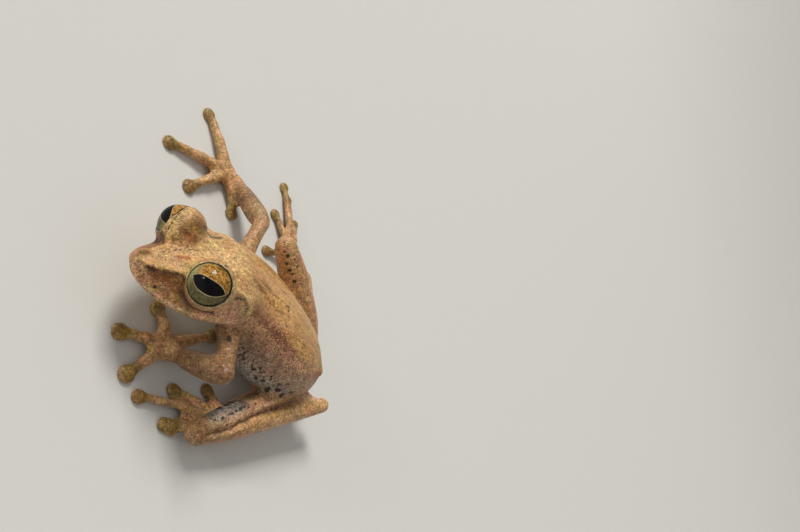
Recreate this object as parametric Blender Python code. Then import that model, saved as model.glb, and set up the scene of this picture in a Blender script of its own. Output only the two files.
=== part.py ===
# Banded treefrog at life size, crouched with its four limbs spread, as a museum model.
# Sizes are millimetres up to the last step, which scales every mesh to metres.
# +X is the way the body faces, +Y is the frog's left, +Z is up, and the floor is z = 0.

import math
from collections import Counter

import bmesh
import bpy
from mathutils import Matrix, Vector

# Driving sizes, in millimetres: fingers and toes by their radius at root and end, the stem
# of a hand or foot by its radii, and a few shares of a length
EYE_BALL = 2.95
EYE_OPENING = 2.6
LID = 0.6
LID_SET = (-0.05, -0.1, 0.05)
EARDRUM = 1.15
EARDRUM_RIM = 0.24
NOSTRIL = 0.3
NOSTRIL_SWELLING = (0.7, 0.6, 0.5)
NOSTRIL_PIT = (0.15, 0.45, 0.45)
HEEL_POINT = (0.4, 0.32, 0.12)
HEEL_POINT_LENGTH = 1.3
FINGER = (0.9, 0.51)
FINGER_DISC = 1.12
TOE = (0.7, 0.44)
TOE_DISC = 1.0
DISC_THICKNESS = 0.58
DISC_HEIGHT = 0.3
DIGIT_HEIGHT = 0.6
DIGIT_START = 0.12
KNUCKLE = 0.55
KNUCKLE_RISE = 0.25
STEM = (1.15, 1.2, 1.0)
HAND_WEB = 0.3
FOOT_WEB = 0.45
WEB_LEVELS = (0.12, 0.7)
WEB_STEP = 0.03
WEB_LEAST_SPREAD = math.radians(9)
GAP = 0.3
METRES = 0.001
WELD = 0.004

# How the head and the trunk are held: the place of the frame's origin, then degrees
# of turn to the left, nose down and left side up
NECK = (13.9, -0.2, 10.8)
HEAD_HOLD = (26.6, 6.3, 24.7)
TRUNK_MIDDLE = (0.0, 0.0, 7.7)
TRUNK_HOLD = (0.0, -4.7, 18.0)

# Skull sections: distance ahead of the neck, top, ridge of the snout, lip, chin
SKULL = (
    (15.5, -0.45, (0.6, -0.6), (1.0, -1.3), -1.9),
    (15.15, 0.1, (1.0, -0.1), (2.0, -1.6), -2.5),
    (14.3, 0.45, (1.4, 0.2), (3.1, -1.9), -3.1),
    (12.8, 0.8, (1.9, 0.5), (4.4, -2.3), -3.8),
    (10.8, 1.2, (2.5, 0.9), (5.5, -2.6), -4.3),
    (8.2, 1.8, (3.3, 1.5), (6.5, -2.9), -4.7),
    (5.5, 2.3, (4.2, 1.7), (7.1, -3.1), -5.0),
    (3.0, 2.7, (5.0, 1.4), (7.4, -3.3), -5.3),
    (0.5, 3.0, (5.4, 1.2), (7.3, -3.2), -5.6),
)

# Trunk sections: distance ahead of the middle, to the left, up, half width, back, belly
TRUNK = (
    (9.9, 0.4, 0.1, 7.0, 4.3, -5.1),
    (5.8, 1.3, -0.3, 7.4, 4.8, -5.3),
    (1.0, 2.4, -1.0, 7.7, 5.1, -5.4),
    (-4.0, 2.9, -2.0, 7.1, 5.0, -4.8),
    (-7.4, 2.5, -3.0, 5.9, 4.4, -3.9),
    (-9.8, 2.1, -3.7, 4.6, 3.7, -3.0),
    (-11.4, 1.8, -4.1, 3.3, 2.8, -2.2),
    (-12.2, 1.6, -4.2, 1.7, 1.5, -1.1),
)

# Places on the left of the head, in its own frame, mirrored for the right
EYE_PLACE = (8.2, 4.9, 1.7)
EYE_AXIS = (0.64, 0.54, 0.55)
EARDRUM_PLACE = (3.2, 6.35, -0.5)
EARDRUM_AXIS = (-0.1, 0.9, 0.35)
NOSTRIL_PLACE = (14.6, 1.2, 0.2)
FOLD_BEHIND_EYE = ((5.3, 6.0, 2.0), (3.4, 6.1, 1.4), (1.7, 6.6, 0.1), (0.9, 7.0, -1.7))
FOLD = 0.32
MOUTH_CORNER = 1.7
NECK_CUT = 0.2

# Joints and tips of the limbs
LIMBS = {
    "left": {
        "shoulder": (10.4, 6.8, 7.8),
        "elbow": (12.4, 15.5, 11.0),
        "wrist": (13.6, 11.1, 2.3),
        "palm": (15.0, 10.0, 1.1),
        "fingers": ((7.1, 4.3), (17.2, 5.2), (21.6, 11.1), (18.9, 15.9)),
        "hip": (-11.0, 4.8, 4.4),
        "knee": (7.7, 20.2, 3.0),
        "heel": (-13.6, 7.8, 5.4),
        "instep": (-1.9, 14.4, 1.9),
        "sole": (3.5, 15.5, 1.0),
        "toes": ((5.6, 12.5), (11.2, 14.9), (16.2, 17.9), (11.3, 19.8), (10.1, 19.9)),
    },
    "right": {
        "shoulder": (9.8, -4.6, 5.6),
        "elbow": (7.1, -15.2, 6.1),
        "wrist": (10.1, -22.8, 1.9),
        "palm": (12.4, -24.2, 1.1),
        "fingers": ((8.9, -18.3), (18.0, -17.0), (23.5, -21.7), (18.3, -33.0)),
        "hip": (-10.0, -2.0, 4.2),
        "knee": (5.7, -9.6, 11.0),
        "heel": (-12.6, -5.6, 1.7),
        "instep": (-9.5, -15.9, 1.9),
        "sole": (-5.5, -17.8, 1.0),
        "toes": ((-0.3, -16.6), (-0.6, -25.0), (-1.5, -32.2), (-2.9, -30.1), (-5.6, -26.2)),
    },
}

# Thickness along each limb segment: share of its length, radius
UPPER_ARM = ((0.0, 1.9), (0.35, 1.5), (0.75, 1.25), (1.0, 1.35))
FOREARM = ((0.0, 1.45), (0.25, 1.75), (0.65, 1.55), (1.0, 1.15))
THIGH = ((0.0, 1.7), (0.3, 2.5), (0.7, 2.4), (1.0, 1.9))
SHANK = ((0.0, 1.6), (0.25, 1.95), (0.6, 1.7), (1.0, 1.3))
TARSUS = ((0.0, 1.25), (0.5, 1.05), (1.0, 1.2))
PALM = (2.2, 1.9, 0.95)
SOLE = (2.6, 1.6, 0.85)

SKIN = (0.52, 0.33, 0.17)
IRIS = (0.33, 0.24, 0.1)


def held(place, hold):
    """Matrix of a frame at a place, turned left, nose down and left side up by degrees."""
    turn, dip, roll = (math.radians(v) for v in hold)
    about = Matrix.Rotation(turn, 4, "Z") @ Matrix.Rotation(dip, 4, "Y") @ Matrix.Rotation(roll, 4, "X")
    return Matrix.Translation(Vector(place)) @ about


HEAD = held(NECK, HEAD_HOLD)
BODY = held(TRUNK_MIDDLE, TRUNK_HOLD)


def clear_scene():
    for item in list(bpy.data.objects):
        bpy.data.objects.remove(item)


def finish(name, colour, roughness):
    material = bpy.data.materials.new(name)
    material.use_nodes = True
    shader = material.node_tree.nodes["Principled BSDF"]
    shader.inputs["Base Color"].default_value = (*colour, 1.0)
    shader.inputs["Roughness"].default_value = roughness
    return material


def new_object(name, bm):
    """Object with this mesh, its faces outwards."""
    bmesh.ops.recalc_face_normals(bm, faces=bm.faces)
    mesh = bpy.data.meshes.new(name)
    bm.to_mesh(mesh)
    bm.free()
    item = bpy.data.objects.new(name, mesh)
    bpy.context.collection.objects.link(item)
    return item


def catmull(a, b, c, d, t):
    """Point at share t of the smooth run from b to c."""
    return 0.5 * (2 * b + (c - a) * t + (2 * a - 5 * b + 4 * c - d) * t**2 + (3 * b - a - 3 * c + d) * t**3)


def smooth(points, steps):
    """Smooth run through vectors, with steps between neighbours."""
    points = [Vector(p) for p in points]
    run = [2 * points[0] - points[1], *points, 2 * points[-1] - points[-2]]
    out = [catmull(*run[i : i + 4], s / steps) for i in range(len(points) - 1) for s in range(steps)]
    return out + [points[-1]]


def loft(rings):
    """Closed mesh over rings of equally many points, each end closed on its middle."""
    bm = bmesh.new()
    rows = [[bm.verts.new(p) for p in ring] for ring in rings]
    for low, high in zip(rows, rows[1:]):
        for a, b, c, d in zip(low, low[1:] + low[:1], high[1:] + high[:1], high):
            bm.faces.new((a, b, c, d))
    for ring in (rows[0], rows[-1]):
        middle = bm.verts.new(sum((v.co for v in ring), Vector()) / len(ring))
        for a, b in zip(ring, ring[1:] + ring[:1]):
            bm.faces.new((a, b, middle))
    return new_object("loft", bm)


def tube(points, radii, sides, flat=1.0):
    """Round-ended tube along points, flat being its height over its width."""
    points = [Vector(p) for p in points]
    ahead = [(b - a).normalized() for a, b in zip(points, points[1:])]
    ahead = [ahead[0], *[(a + b).normalized() for a, b in zip(ahead, ahead[1:])], ahead[-1]]
    start, end = (points[0], ahead[0], radii[0]), (points[-1], ahead[-1], radii[-1])
    cap = ((0.87, 0.5), (0.5, 0.87))
    stations = [(start[0] - start[1] * start[2] * far, start[1], start[2] * near) for far, near in cap]
    stations += list(zip(points, ahead, radii))
    stations += [(end[0] + end[1] * end[2] * far, end[1], end[2] * near) for far, near in reversed(cap)]
    side = Vector((0, 0, 1)).cross(ahead[0])
    rings = []
    for place, way, radius in stations:
        side = (side - way * side.dot(way)).normalized()
        up = way.cross(side)
        turns = [2 * math.pi * k / sides for k in range(sides)]
        rings.append([place + radius * (side * math.cos(t) + up * flat * math.sin(t)) for t in turns])
    return loft(rings)


def ball(place, radii, sides=16, bands=10, frame=None):
    """Ellipsoid at a place, its axes along the frame's."""
    bm = bmesh.new()
    bmesh.ops.create_uvsphere(bm, u_segments=sides, v_segments=bands, radius=1.0)
    about = frame.to_3x3().to_4x4() if frame else Matrix.Identity(4)
    matrix = Matrix.Translation(Vector(place)) @ about @ Matrix.Diagonal((*radii, 1.0))
    bmesh.ops.transform(bm, matrix=matrix, verts=bm.verts)
    return new_object("ball", bm)


def ring_bead(place, axis, across, bead, sides=16, round_sides=5):
    """Closed bead round a place, across being its radius, facing along the axis."""
    turn = Vector((0, 0, 1)).rotation_difference(Vector(axis)).to_matrix()
    bm = bmesh.new()
    rows = []
    for k in range(sides):
        a = 2 * math.pi * k / sides
        way = Vector((math.cos(a), math.sin(a), 0))
        circle = [2 * math.pi * j / round_sides for j in range(round_sides)]
        spots = [way * (across + bead * math.cos(t)) + Vector((0, 0, bead * math.sin(t))) for t in circle]
        rows.append([bm.verts.new(Vector(place) + turn @ p) for p in spots])
    for low, high in zip(rows, rows[1:] + rows[:1]):
        for a, b, c, d in zip(low, low[1:] + low[:1], high[1:] + high[:1], high):
            bm.faces.new((a, b, c, d))
    return new_object("bead", bm)


def keep_largest(mesh):
    """Weld the mesh, drop all but its largest surface and say whether that is closed."""
    bm = bmesh.new()
    bm.from_mesh(mesh)
    bmesh.ops.remove_doubles(bm, verts=bm.verts, dist=WELD)
    bmesh.ops.triangulate(bm, faces=bm.faces)
    bmesh.ops.dissolve_degenerate(bm, edges=bm.edges, dist=WELD / 2)
    bmesh.ops.triangulate(bm, faces=bm.faces)
    corners = Counter(frozenset(face.verts) for face in bm.faces)
    doubled = [face for face in bm.faces if corners[frozenset(face.verts)] > 1]
    bmesh.ops.delete(bm, geom=doubled, context="FACES")
    left = set(bm.verts)
    islands = []
    while left:
        edge = [left.pop()]
        island = set(edge)
        while edge:
            for link in edge.pop().link_edges:
                for vert in link.verts:
                    if vert in left:
                        left.discard(vert)
                        island.add(vert)
                        edge.append(vert)
        islands.append(island)
    largest = max(islands, key=len, default=set())
    bmesh.ops.delete(bm, geom=[v for v in bm.verts if v not in largest], context="VERTS")
    closed = bool(bm.faces) and all(edge.is_manifold for edge in bm.edges)
    bm.to_mesh(mesh)
    bm.free()
    return closed


def combine(item, others, operation):
    """Join the others to the item, or cut it by them, and use them up."""
    group = bpy.data.collections.new("others")
    for other in others:
        group.objects.link(other)
    modifier = item.modifiers.new("combine", "BOOLEAN")
    modifier.operation = operation
    modifier.operand_type = "COLLECTION"
    modifier.collection = group
    for solver in ("EXACT", "MANIFOLD"):
        modifier.solver = solver
        bpy.context.view_layer.update()
        graph = bpy.context.evaluated_depsgraph_get()
        mesh = bpy.data.meshes.new_from_object(item.evaluated_get(graph))
        if keep_largest(mesh):
            break
    item.modifiers.clear()
    item.data = mesh
    for other in others:
        bpy.data.objects.remove(other)
    bpy.data.collections.remove(group)
    return item


def fuse(pieces):
    return combine(pieces[0], pieces[1:], "UNION")


def trim(item, place, normal):
    """Keep what lies behind a plane and close the cut flat."""
    bm = bmesh.new()
    bm.from_mesh(item.data)
    everything = bm.verts[:] + bm.edges[:] + bm.faces[:]
    bmesh.ops.bisect_plane(bm, geom=everything, plane_co=place, plane_no=normal, clear_outer=True)
    bmesh.ops.holes_fill(bm, edges=[e for e in bm.edges if e.is_boundary], sides=0)
    bmesh.ops.triangulate(bm, faces=bm.faces)
    bm.to_mesh(item.data)
    bm.free()
    return item


def stand_flat(item):
    """Cut the foot level with the floor."""
    return trim(item, Vector((0, 0, 0)), Vector((0, 0, -1)))


def mirrored(place, side):
    return Vector((place[0], place[1] * (1 if side == "left" else -1), place[2]))


def section(frame, ahead, half):
    """Ring of a body section from its left half profile, top to bottom, in a frame."""
    before = Vector((-half[1][0], half[1][1]))
    after = Vector((-half[-2][0], half[-2][1]))
    run = [before, *[Vector(p) for p in half], after]
    steps = 4
    left = [catmull(*run[i : i + 4], s / steps) for i in range(len(half) - 1) for s in range(steps)]
    left.append(Vector(half[-1]))
    right = [Vector((-p.x, p.y)) for p in reversed(left[1:-1])]
    return [frame @ Vector((ahead, p.x, p.y)) for p in left + right]


def skull_ring(station, grow):
    ahead, top, ridge, lip, chin = station
    ridge = (ridge[0] + 0.7 * grow, ridge[1] + 0.7 * grow)
    lip = (lip[0] + grow, lip[1])
    jaw = (0.66 * lip[0], 0.7 * (chin - grow) + 0.3 * lip[1])
    return section(HEAD, ahead, ((0, top + grow), ridge, lip, jaw, (0, chin - grow)))


def trunk_ring(station, grow):
    ahead, aside, middle, width, back, belly = station
    width, back, belly = width + grow, back + grow, belly - grow
    spots = ((0, back), (0.64 * width, 0.76 * back), (width, 0), (0.74 * width, 0.78 * belly), (0, belly))
    return section(BODY @ Matrix.Translation((0, aside, middle)), ahead, spots)


def body_form(grow=0.0):
    """Head and trunk as one closed form, thicker all over by grow."""
    rings = [skull_ring(s, grow) for s in SKULL] + [trunk_ring(s, grow) for s in TRUNK]
    runs = [smooth(run, 2) for run in zip(*rings)]
    rings = [list(ring) for ring in zip(*runs)]
    return loft(rings)


def lid_form(side):
    """The bulge round an eye, cut square at the lid's edge."""
    place = HEAD @ mirrored(EYE_PLACE, side)
    axis = (HEAD.to_3x3() @ mirrored(EYE_AXIS, side)).normalized()
    bulge = ball(place + HEAD.to_3x3() @ mirrored(LID_SET, side), [EYE_BALL + LID] * 3, 20, 12)
    edge = math.sqrt(EYE_BALL**2 - EYE_OPENING**2)
    return trim(bulge, place + axis * edge, axis)


def eye_form(side, grow=0.0):
    return ball(HEAD @ mirrored(EYE_PLACE, side), [EYE_BALL + grow] * 3, 20, 12)


def head_additions():
    """Lids, eardrum rims and the swellings of the nostrils."""
    pieces = []
    for side in LIMBS:
        pieces.append(lid_form(side))
        drum = HEAD @ mirrored(EARDRUM_PLACE, side)
        facing = HEAD.to_3x3() @ mirrored(EARDRUM_AXIS, side)
        pieces.append(ring_bead(drum, facing, EARDRUM, EARDRUM_RIM))
        nostril = HEAD @ mirrored(NOSTRIL_PLACE, side)
        pieces.append(ball(nostril, NOSTRIL_SWELLING, 10, 6, HEAD))
        fold = smooth([HEAD @ mirrored(p, side) for p in FOLD_BEHIND_EYE], 3)
        pieces.append(tube(fold, [FOLD] * len(fold), 7))
    return pieces


def head_cuts():
    """Eye sockets and nostril pits."""
    pits = []
    for side in LIMBS:
        pits.append(eye_form(side, GAP))
        nostril = HEAD @ (mirrored(NOSTRIL_PLACE, side) + mirrored(NOSTRIL_PIT, side))
        pits.append(ball(nostril, [NOSTRIL] * 3, 8, 5))
    return pits


def mouth_block(drop, inset):
    """Everything under the line of the mouth, ahead of its corners."""
    reach = 12.0
    line = [(s[0], s[3][1]) for s in SKULL if s[0] > MOUTH_CORNER]
    line = [(SKULL[0][0] + reach, line[0][1]), *line, (MOUTH_CORNER + inset, line[-1][1])]
    line = [(x, z - drop) for x, z in line]
    line += [(MOUTH_CORNER + inset, -reach), (SKULL[0][0] + reach, -reach)]
    bm = bmesh.new()
    walls = [[bm.verts.new(HEAD @ Vector((x, y, z))) for x, z in line] for y in (-reach, reach)]
    for wall in walls:
        bm.faces.new(wall)
    left, right = walls
    for a, b, c, d in zip(left, left[1:] + left[:1], right[1:] + right[:1], right):
        bm.faces.new((a, b, c, d))
    bmesh.ops.triangulate(bm, faces=bm.faces)
    return new_object("block", bm)


def neck_plane(clear):
    """Plane between head and trunk, moved ahead by clear."""
    return HEAD @ Vector((NECK_CUT + clear, 0, 0)), (HEAD.to_3x3() @ Vector((1, 0, 0)))


def make_head():
    place, ahead = neck_plane(GAP / 2)
    head = trim(body_form(), place, -ahead)
    head = combine(head, head_additions(), "UNION")
    head = combine(head, head_cuts(), "DIFFERENCE")
    return combine(head, [mouth_block(0, 0)], "DIFFERENCE")


def make_jaw():
    place, ahead = neck_plane(GAP / 2)
    jaw = trim(body_form(-0.12), place, -ahead)
    return combine(jaw, [mouth_block(GAP, GAP)], "INTERSECT")


def make_torso():
    place, ahead = neck_plane(-GAP / 2)
    return trim(body_form(), place, ahead)


def limb_form(start, end, shape, grow=0.0, bow=(0, 0, 0), sides=12):
    """Limb segment between two joints, bowed sideways in its middle."""
    start, end = Vector(start), Vector(end)
    bow = Vector(bow)
    spots = smooth([(share, radius, 0) for share, radius in shape], 3)
    points = [start.lerp(end, s.x) + bow * math.sin(math.pi * s.x) for s in spots]
    return tube(points, [s.y + grow for s in spots], sides)


def joint_planes(before, joint, after):
    """The plane that halves a bend, as cuts for the segments before and after it."""
    before, joint, after = Vector(before), Vector(joint), Vector(after)
    normal = ((joint - before).normalized() + (after - joint).normalized()).normalized()
    return (joint - normal * GAP / 2, normal), (joint + normal * GAP / 2, -normal)


def digit(middle, tip, thickness, disc, grow):
    """A finger or toe from the middle of its hand or foot to its disc, lying on the floor."""
    end = Vector((tip[0], tip[1], DIGIT_HEIGHT))
    root = Vector(middle).lerp(end, DIGIT_START)
    knuckle = root.lerp(end, KNUCKLE)
    knuckle.z = DIGIT_HEIGHT + KNUCKLE_RISE
    points = smooth((root, knuckle, end), 2)
    first, last = thickness
    radii = [first + (last - first) * k / (len(points) - 1) + grow for k in range(len(points))]
    shaft = tube(points, radii, 7)
    way = (end - root).to_2d()
    frame = Matrix.Rotation(math.atan2(way.y, way.x), 4, "Z")
    radii = [r + grow for r in (disc * 1.05, disc, DISC_THICKNESS)]
    return [shaft, ball((tip[0], tip[1], DISC_HEIGHT), radii, 10, 6, frame)]


def webs(middle, tips, reach):
    """Webs between neighbouring digits, each hollowed at its edge, reach being its share of them."""
    middle = Vector(middle[:2])
    pieces = []
    for n, (a, b) in enumerate(zip(tips, tips[1:])):
        a, b = Vector(a), Vector(b)
        if (a - middle).angle(b - middle) < WEB_LEAST_SPREAD:
            continue
        heel = middle - ((a + b) / 2 - middle).normalized() * 0.5
        edge = (heel, middle.lerp(a, reach), middle.lerp((a + b) / 2, 0.7 * reach), middle.lerp(b, reach))
        bm = bmesh.new()
        low, high = ([bm.verts.new((p.x, p.y, z + n * WEB_STEP)) for p in edge] for z in WEB_LEVELS)
        for ring in (low, high):
            bm.faces.new((ring[0], ring[1], ring[2]))
            bm.faces.new((ring[0], ring[2], ring[3]))
        for a, b, c, d in zip(low, low[1:] + low[:1], high[1:] + high[:1], high):
            bm.faces.new((a, b, c, d))
        pieces.append(new_object("web", bm))
    return pieces


def palm_form(wrist, middle, palm, grow=0.0):
    """The root of a hand or foot, from its wrist or instep to its middle."""
    way = (Vector(middle) - Vector(wrist)).to_2d()
    frame = Matrix.Rotation(math.atan2(way.y, way.x), 4, "Z")
    half = Vector(wrist).lerp(Vector(middle), 0.6)
    stem = tube((wrist, half, middle), [r + grow for r in STEM], 10)
    return [ball(middle, [r + grow for r in palm], 14, 8, frame), stem]


def hand_form(spots, grow=0.0):
    """Palm, fingers, their discs and the little web, not yet joined."""
    pieces = palm_form(spots["wrist"], spots["palm"], PALM, grow)
    for tip in spots["fingers"]:
        pieces += digit(spots["palm"], tip, FINGER, FINGER_DISC, grow)
    return pieces + webs(spots["palm"], spots["fingers"], HAND_WEB)


def foot_form(spots, grow=0.0):
    """Sole, toes, their discs and the web, not yet joined."""
    pieces = palm_form(spots["instep"], spots["sole"], SOLE, grow)
    for tip in spots["toes"]:
        pieces += digit(spots["sole"], tip, TOE, TOE_DISC, grow)
    return pieces + webs(spots["sole"], spots["toes"], FOOT_WEB)


def make_arm(side):
    spots = LIMBS[side]
    upper = limb_form(spots["shoulder"], spots["elbow"], UPPER_ARM)
    fore = limb_form(spots["elbow"], spots["wrist"], FOREARM)
    hand = stand_flat(fuse(hand_form(spots)))
    elbow = joint_planes(spots["shoulder"], spots["elbow"], spots["wrist"])
    trim(upper, *elbow[0])
    trim(fore, *elbow[1])
    combine(fore, hand_form(spots, GAP), "DIFFERENCE")
    combine(upper, [body_form(GAP)], "DIFFERENCE")
    return {f"upper_arm_{side}": upper, f"forearm_{side}": fore, f"hand_{side}": hand}


def heel_point(spots):
    """The little pointed tubercle at the outside of a heel."""
    knee, heel, instep = (Vector(spots[name]) for name in ("knee", "heel", "instep"))
    out = ((heel - knee).normalized() + (heel - instep).normalized()).normalized()
    along = (instep - heel).normalized()
    root = heel + along + out * 0.3
    tip = root + out * HEEL_POINT_LENGTH
    return tube((root, root.lerp(tip, 0.5), tip), HEEL_POINT, 7)


def make_leg(side):
    spots = LIMBS[side]
    thigh = limb_form(spots["hip"], spots["knee"], THIGH)
    shank = limb_form(spots["knee"], spots["heel"], SHANK)
    tarsus = limb_form(spots["heel"], spots["instep"], TARSUS)
    foot = stand_flat(fuse(foot_form(spots)))
    knee = joint_planes(spots["hip"], spots["knee"], spots["heel"])
    heel = joint_planes(spots["knee"], spots["heel"], spots["instep"])
    trim(thigh, *knee[0])
    trim(shank, *knee[1])
    trim(shank, *heel[0])
    trim(combine(tarsus, [heel_point(spots)], "UNION"), *heel[1])
    combine(thigh, [body_form(GAP), *foot_form(spots, GAP)], "DIFFERENCE")
    combine(shank, [body_form(GAP), *foot_form(spots, GAP)], "DIFFERENCE")
    around = [body_form(GAP), limb_form(spots["hip"], spots["knee"], THIGH, GAP)]
    around += palm_form(spots["instep"], spots["sole"], SOLE, GAP)
    combine(tarsus, around, "DIFFERENCE")
    return {f"thigh_{side}": thigh, f"shank_{side}": shank, f"tarsus_{side}": tarsus, f"foot_{side}": foot}


def centre_on_floor(items):
    """Move everything so that the middle of its footprint is the origin."""
    spots = [v.co for item in items for v in item.data.vertices]
    middle = [(min(p[k] for p in spots) + max(p[k] for p in spots)) / 2 for k in (0, 1)]
    for item in items:
        item.data.transform(Matrix.Translation((-middle[0], -middle[1], 0)))


def hand_over(name, item, material):
    """Name a finished piece, give it its finish and scale it to metres."""
    item.name = name
    item.data.name = name
    item.data.transform(Matrix.Scale(METRES, 4))
    item.data.materials.clear()
    item.data.materials.append(material)


def main():
    clear_scene()
    pieces = {"head": make_head(), "lower_jaw": make_jaw(), "torso": make_torso()}
    for side in LIMBS:
        pieces.update(make_arm(side))
        pieces.update(make_leg(side))
        pieces[f"eye_{side}"] = eye_form(side)
    centre_on_floor(pieces.values())
    skin = finish("skin", SKIN, 0.45)
    iris = finish("iris", IRIS, 0.08)
    for name, item in pieces.items():
        hand_over(name, item, iris if name.startswith("eye_") else skin)


main()
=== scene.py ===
import math

import bmesh
import bpy
import numpy as np
from mathutils import Matrix, Vector
from mathutils.bvhtree import BVHTree


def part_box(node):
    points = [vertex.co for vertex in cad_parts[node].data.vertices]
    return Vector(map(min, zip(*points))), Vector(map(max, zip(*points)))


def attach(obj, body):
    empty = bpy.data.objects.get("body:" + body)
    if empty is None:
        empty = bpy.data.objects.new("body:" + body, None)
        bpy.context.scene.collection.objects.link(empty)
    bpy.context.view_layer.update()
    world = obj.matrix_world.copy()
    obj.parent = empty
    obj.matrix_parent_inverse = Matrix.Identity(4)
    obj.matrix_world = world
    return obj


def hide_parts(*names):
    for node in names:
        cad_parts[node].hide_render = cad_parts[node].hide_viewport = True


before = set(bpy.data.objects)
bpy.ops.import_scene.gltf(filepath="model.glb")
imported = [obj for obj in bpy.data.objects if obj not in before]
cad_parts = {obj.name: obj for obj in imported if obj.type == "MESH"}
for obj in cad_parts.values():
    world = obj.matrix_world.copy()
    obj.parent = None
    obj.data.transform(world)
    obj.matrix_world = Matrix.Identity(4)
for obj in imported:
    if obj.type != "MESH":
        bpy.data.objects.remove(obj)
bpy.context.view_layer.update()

mm = 0.001
sides = {"left": 1, "right": -1}

# The skin is worked in millimetres. The head and the trunk each have a frame of their own:
# ahead, to the left and up, held by degrees of turn to the left, nose down and left side up.
hold = dict(headTurn=26.6, headDip=6.3, headRoll=24.7, trunkDip=-4.7, trunkRoll=18.0)
places = dict(eye=(8.2, 4.9, 1.7), neck=(13.9, -0.2, 10.8), trunk=(0.0, 0.0, 7.7))


def turned(turn, dip, roll):
    about = Matrix.Rotation(math.radians(turn), 3, "Z")
    about = about @ Matrix.Rotation(math.radians(dip), 3, "Y")
    return about @ Matrix.Rotation(math.radians(roll), 3, "X")


def nodeMiddle(name):
    low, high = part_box(name)
    return (low + high) / 2 / mm


headTurn = turned(hold["headTurn"], hold["headDip"], hold["headRoll"])
trunkTurn = turned(0, hold["trunkDip"], hold["trunkRoll"])
neckPlace = nodeMiddle("eye_left") - headTurn @ Vector(places["eye"])
floorShift = neckPlace - Vector(places["neck"])  # from the animal's own sizes to the floor's middle
trunkPlace = floorShift + Vector(places["trunk"])


def onHead(place, side="left"):
    return neckPlace + headTurn @ Vector((place[0], place[1] * sides[side], place[2]))


def onFloor(place):
    return floorShift + Vector(place)


# Small helpers: points in and out of a mesh, distances and soft falloffs
def takePoints(mesh, what="vertices"):
    out = np.empty(len(mesh.vertices) * 3)
    if what == "vertices":
        mesh.vertices.foreach_get("co", out)
    else:
        mesh.vertex_normals.foreach_get("vector", out)
    return out.reshape(-1, 3)


def putPoints(mesh, points):
    mesh.vertices.foreach_set("co", points.ravel())
    mesh.update()


def reshape(mesh, change, *values):
    putPoints(mesh, change(takePoints(mesh), *values))


def inFrame(points, place, turn):
    return (points - np.array(place)) @ np.array(turn)


def lengths(rows):
    return np.linalg.norm(rows, axis=-1)


def folded(at):
    # both sides brought to the left
    return np.stack([at[:, 0], np.abs(at[:, 1]), at[:, 2]], 1)


def fade(distance, reach):
    share = np.clip(1 - distance / reach, 0, 1)
    return share * share * (3 - 2 * share)


def step(value, low, high):
    share = np.clip((value - low) / (high - low), 0, 1)
    return share * share * (3 - 2 * share)


def lineDistance(points, line):
    # distance to a run of points, and how far along it, from 0 to 1
    line = np.array([tuple(p) for p in line], float)
    best = np.full(len(points), 1e9)
    along = np.zeros(len(points))
    for n, (a, b) in enumerate(zip(line, line[1:])):
        way = b - a
        share = np.clip((points - a) @ way / (way @ way), 0, 1)
        gap = lengths(points - (a + share[:, None] * way))
        nearer = gap < best
        best = np.where(nearer, gap, best)
        along = np.where(nearer, (n + share) / (len(line) - 1), along)
    return best, along


def deselectAll():
    bpy.ops.object.select_all(action="DESELECT")


def only(item):
    deselectAll()
    item.select_set(True)
    bpy.context.view_layer.objects.active = item


# Eyes, in millimetres and degrees: each looks along its axis in the head's frame
eyeValues = dict(
    radius=3.02,
    segments=144, rings=108,
    bulge=0.16, bulgeAngle=48,         # how far the cornea stands out, and how wide it is
    rimAngle=62,                       # from the axis to the lids' edge
    axis=dict(left=(0.64, 0.54, 0.55), right=(0.64, -0.56, 0.52)),
    droop=dict(left=1.0, right=27.0),  # how far the upper lid comes down
    droopWay=(-0.25, 0.9, 0.2),        # towards the back, the middle and the top of the head
    upperLid=0.2, lowerLid=0.12, lidEdge=0.04,
    lidCrown=0.3,                      # how thick the lid's dome is over the ball
    socket=0.2,                        # how much wider than the ball its socket is filled at first
    tuck=0.4,                          # how deep the skin inside the lids goes under the ball
    hug=34,                            # degrees past the lids' edge that follow the ball
    reach=4.1, reachFade=0.8,          # how far from the ball's middle the skin is moved
)


def eyeFrame(side):
    # the eye's middle, its axis, and the level and upright directions across it
    axis = (headTurn @ Vector(eyeValues["axis"][side])).normalized()
    level = (headTurn @ Vector((0, 0, 1))).cross(axis).normalized()
    if side == "right":
        level.negate()
    upright = axis.cross(level) if side == "left" else level.cross(axis)
    return onHead(places["eye"], side), axis, level, upright


# Skin form
skinForm = dict(
    grow=0.24,     # how far the flesh swells before it is made one, and shrinks after
    voxel=0.3,
    finer=dict(middle=(8.0, 0.0, -0.2), reach=(8.6, 8.4, 5.6)),  # here the head gets four times the points
    tipHeight=0.62,
    padHeight=0.34,
    relaxBy=(0.55, -0.57), softenBy=0.6,
    rounds=dict(joined=14, shrunk=4, finer=3),  # how often the skin is relaxed after each stage
)
# Thin webs between neighbouring digits: shares are of the digits' lengths
webValues = dict(
    thickness=0.5, low=0.15, tipHeight=0.4,
    apart=9,                # least degrees between two digits that a web joins
    behind=0.5,             # how far behind the palm's middle it starts
    lean=0.3, beside=0.82,  # how its edge leans away from a digit, and how far out that is
    hollow=0.72,            # how far out its edge is at the middle
)
# Fingers and toes: the places that their root lies between, how thick they are at the root and at their
# thinnest, the radii of the disc and of the palm or sole, and how far along them the web reaches
digitValues = dict(
    fingers=dict(start="wrist", middle="palm", group="hand", root=1.12, thin=0.62, disc=(1.28, 1.24, 0.74),
                 flesh=(2.3, 2.0, 1.0), web=0.33),
    toes=dict(start="instep", middle="sole", group="foot", root=0.78, thin=0.5, disc=(1.1, 1.04, 0.64),
              flesh=(2.6, 1.6, 0.85), web=0.5),
)
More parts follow.
